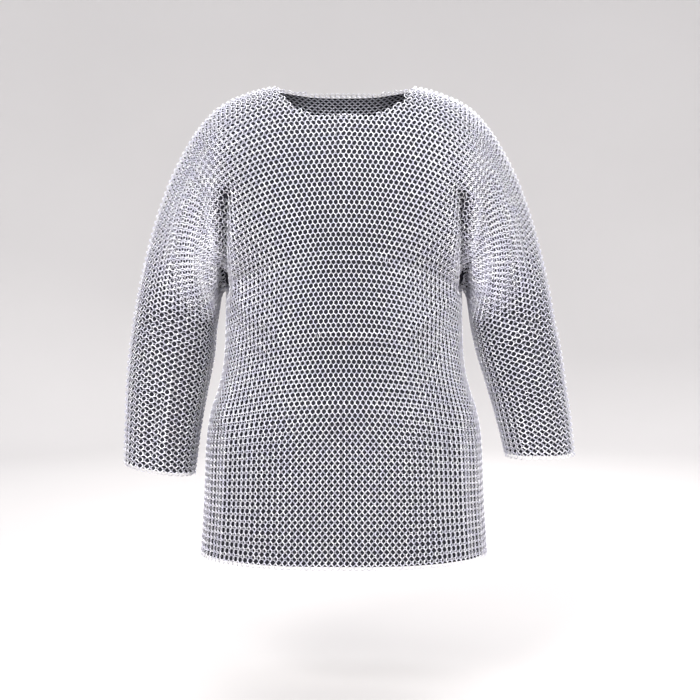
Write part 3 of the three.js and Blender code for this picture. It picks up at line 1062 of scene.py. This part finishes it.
@dataclass
class Hauberk:
    """The whole garment: yoke, two sleeves, body and skirt."""

    body: Sheet = field(default_factory=body_sheet)
    arms: dict[tuple[Hand, Face], ArmHalf] = field(
        default_factory=lambda: {(hand, face): ArmHalf(hand, face) for hand in Hand for face in Face})
    maker: RingMaker = RingMaker()
    tapered: float = 0.93

    def panels(self) -> list[Panel]:
        """List the woven stretches with their cut."""
        weave = Weave(self.arms, self.body, self.maker)
        made = []
        for face in Face:
            made.append(self._yoke(weave, face))
        for hand in Hand:
            made.append(self._sleeve(weave, hand))
        for face in Face:
            made.append(self._tube(weave, "body", face, 1, BODY_ROWS))
        for face in Face:
            made.append(self._tube(weave, "skirt", face, BODY_ROWS, BODY_ROWS + SKIRT_ROWS))
        return made

    def _yoke(self, weave: Weave, face: Face) -> Panel:
        """Describe the front or back of the yoke."""

        def surface(u: np.ndarray, v: np.ndarray) -> tuple[np.ndarray, np.ndarray]:
            """Give the yoke's points and normals."""
            column = np.abs(2 * u - 1) * CHEST_COLUMNS
            points, normals = np.empty((len(u), 3)), np.empty((len(u), 3))
            for hand in Hand:
                here = (2 * u - 1 >= 0) == (hand is Hand.LEFT)
                arm = self.arms[hand, face]
                share = v[here] * arm.neck_share(column[here], EDGE_INSET)
                points[here], normals[here] = arm.sheet.sample(column[here], share)
            return points, normals

        flat = (0.56, 0.355)
        return Panel("yoke_" + face.name.lower(), flat, area=0.175, steps=(60, 36), surface=surface,
                     rings=weave.yoke(face))

    def _sleeve(self, weave: Weave, hand: Hand) -> Panel:
        """Describe a sleeve."""

        def surface(u: np.ndarray, v: np.ndarray) -> tuple[np.ndarray, np.ndarray]:
            """Give the sleeve's points and normals, round from the underarm over the front."""
            column = CHEST_COLUMNS + v * (CUFF_COLUMN - CUFF_TRIM - CHEST_COLUMNS)
            points, normals = np.empty((len(u), 3)), np.empty((len(u), 3))
            for face in Face:
                here = (u <= 0.5) == (face is Face.FRONT)
                share = 2 * u[here] if face is Face.FRONT else 2 - 2 * u[here]
                points[here], normals[here] = self.arms[hand, face].sheet.sample(column[here], share)
            return points, normals

        flat = (0.69, 0.56)
        return Panel("sleeve_" + hand.name.lower(), flat, area=0.22, steps=(56, 52), surface=surface,
                     rings=weave.sleeve(hand), closed=True)

    def _tube(self, weave: Weave, name: str, face: Face, first: int, last: int) -> Panel:
        """Describe the front or back of the body or skirt."""
        shares = weave.row_shares()
        top = 0.0 if first <= 1 else shares[first]
        bottom = shares[last] if last == BODY_ROWS else shares[last - 1]

        def surface(u: np.ndarray, v: np.ndarray) -> tuple[np.ndarray, np.ndarray]:
            """Give the tube's points and normals from side to side."""
            column = (2 * u - 1) * CHEST_COLUMNS + (0 if face is Face.FRONT else BODY_COLUMNS / 2)
            return self.body.sample(np.mod(column, BODY_COLUMNS), bottom + v * (top - bottom))

        widths = {"body": (0.57, 0.285), "skirt": (0.65, 0.245)}
        flat = widths[name]
        area = flat[0] * flat[1] * self.tapered
        return Panel(f"{name}_{face.name.lower()}", flat, area=area, steps=(60, 26), surface=surface,
                     rings=weave.tube(face, first, last))

    def build(self) -> None:
        """Build every stretch."""
        # The sheets' two finishes are painted shade: the dark between the rings outside, and dimmed rings
        # inside.
        steel, sides = BrightRings().material(), (GapShade().material(), WovenInside().material())
        for panel in self.panels():
            panel.build(self.maker, steel, sides)


@dataclass(frozen=True)
class Lamp:
    """A soft square lamp: its place and size in metres, and its power in watts."""

    name: str
    place: tuple[float, float, float]
    size: float
    watts: float


@dataclass
class Studio:
    """The plain pale stage, the soft lights and the camera, in metres."""

    floor: float = -1.05
    reach: float = 6.0
    camera_place: tuple[float, float, float] = (0.0105, -2.2, -0.334)
    camera_aim: tuple[float, float, float] = (0.0105, 0.0, -0.457)
    seen_width: float = 1.225
    sensor: float = 36.0
    chest: tuple[float, float, float] = (0.0, 0.0, -0.4)
    sky: tuple[float, float, float, float] = (0.93, 0.95, 1.0, 1.0)
    sky_strength: float = 1.4
    lamps: tuple[Lamp, ...] = (
        Lamp("key", (-1.6, -2.4, 1.5), 1.6, 108.0),
        Lamp("fill", (2.0, -2.2, 0.5), 1.8, 60.0),
        Lamp("back", (0.6, 2.4, 1.4), 1.8, 64.0),
        Lamp("top", (0.0, 0.0, 2.4), 2.2, 28.0),
    )

    def build(self) -> None:
        """Set up stage, lights and camera."""
        self._floor()
        self._camera()
        self._world()
        for lamp in self.lamps:
            self._lamp(lamp)

    def _floor(self) -> None:
        """Make the floor, a wide disc whose rim curves up out of sight."""
        bpy.ops.object.select_all(action="DESELECT")
        bpy.ops.mesh.primitive_grid_add(x_subdivisions=80, y_subdivisions=80, size=2 * self.reach,
                                        location=(0, 0, self.floor))
        stage = bpy.context.object
        stage.name = "floor"
        flat_radius, rise = 3.2, 0.55
        for vertex in stage.data.vertices:
            past = max(math.hypot(vertex.co.x, vertex.co.y) - flat_radius, 0.0)
            vertex.co.z += rise * past * past
        bpy.ops.object.transform_apply(location=True, rotation=False, scale=False)
        bpy.ops.object.shade_smooth()
        stage.data.materials.append(PaleFloor().material())

    def _camera(self) -> None:
        """Place the camera before the chest, looking slightly down."""
        data = bpy.data.cameras.new("camera")
        camera = bpy.data.objects.new("camera", data)
        bpy.context.collection.objects.link(camera)
        place, aim = Vector(self.camera_place), Vector(self.camera_aim)
        camera.location = place
        camera.rotation_euler = (aim - place).to_track_quat("-Z", "Y").to_euler()
        data.sensor_width = self.sensor
        data.lens = data.sensor_width * (aim - place).length / self.seen_width
        bpy.context.scene.camera = camera

    def _world(self) -> None:
        """Light the scene evenly with a pale sky."""
        world = bpy.data.worlds.new("world")
        world.use_nodes = True
        background = world.node_tree.nodes["Background"]
        background.inputs["Color"].default_value = self.sky
        background.inputs["Strength"].default_value = self.sky_strength
        bpy.context.scene.world = world
        bpy.context.scene.view_settings.view_transform = "Standard"

    def _lamp(self, lamp: Lamp) -> None:
        """Add a soft lamp that faces the chest."""
        data = bpy.data.lights.new(lamp.name, "AREA")
        data.size, data.energy = lamp.size, lamp.watts
        placed = bpy.data.objects.new(lamp.name, data)
        bpy.context.collection.objects.link(placed)
        placed.location = lamp.place
        placed.rotation_euler = (Vector(self.chest) - Vector(lamp.place)).to_track_quat("-Z", "Y").to_euler()


def main() -> None:
    """Build the hauberk and its stage."""
    logging.basicConfig(level=logging.INFO, format="%(name)s: %(message)s")
    Hauberk().build()
    Studio().build()


if __name__ == "__main__":
    main()
